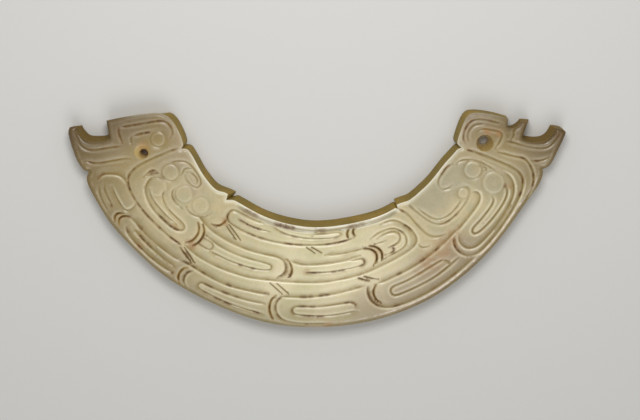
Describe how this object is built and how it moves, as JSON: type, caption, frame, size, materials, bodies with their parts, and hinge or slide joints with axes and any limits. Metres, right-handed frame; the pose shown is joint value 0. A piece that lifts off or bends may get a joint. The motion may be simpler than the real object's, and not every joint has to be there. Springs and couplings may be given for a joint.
{
  "type": "arc-shaped pendant",
  "caption": "Flat arc-shaped jade pendant with a beast's head at each end, scrollwork carved on its front and a suspension bore through each head.",
  "frame": {"origin": "centre of the plaque's bounding box, at the height of its flat back, on which it lies", "axes": "+X from the left head to the right head, +Y from the belly of the arc towards the heads, +Z out of the carved face"},
  "size_m": [0.1184, 0.0528, 0.006],
  "materials": {
    "jade": "polished translucent celadon jade, olive at the edges, dark brown residue in the grooves"
  },
  "bodies": {
    "root": {"carved_arc_plaque": "jade"}
  },
  "joints": []
}
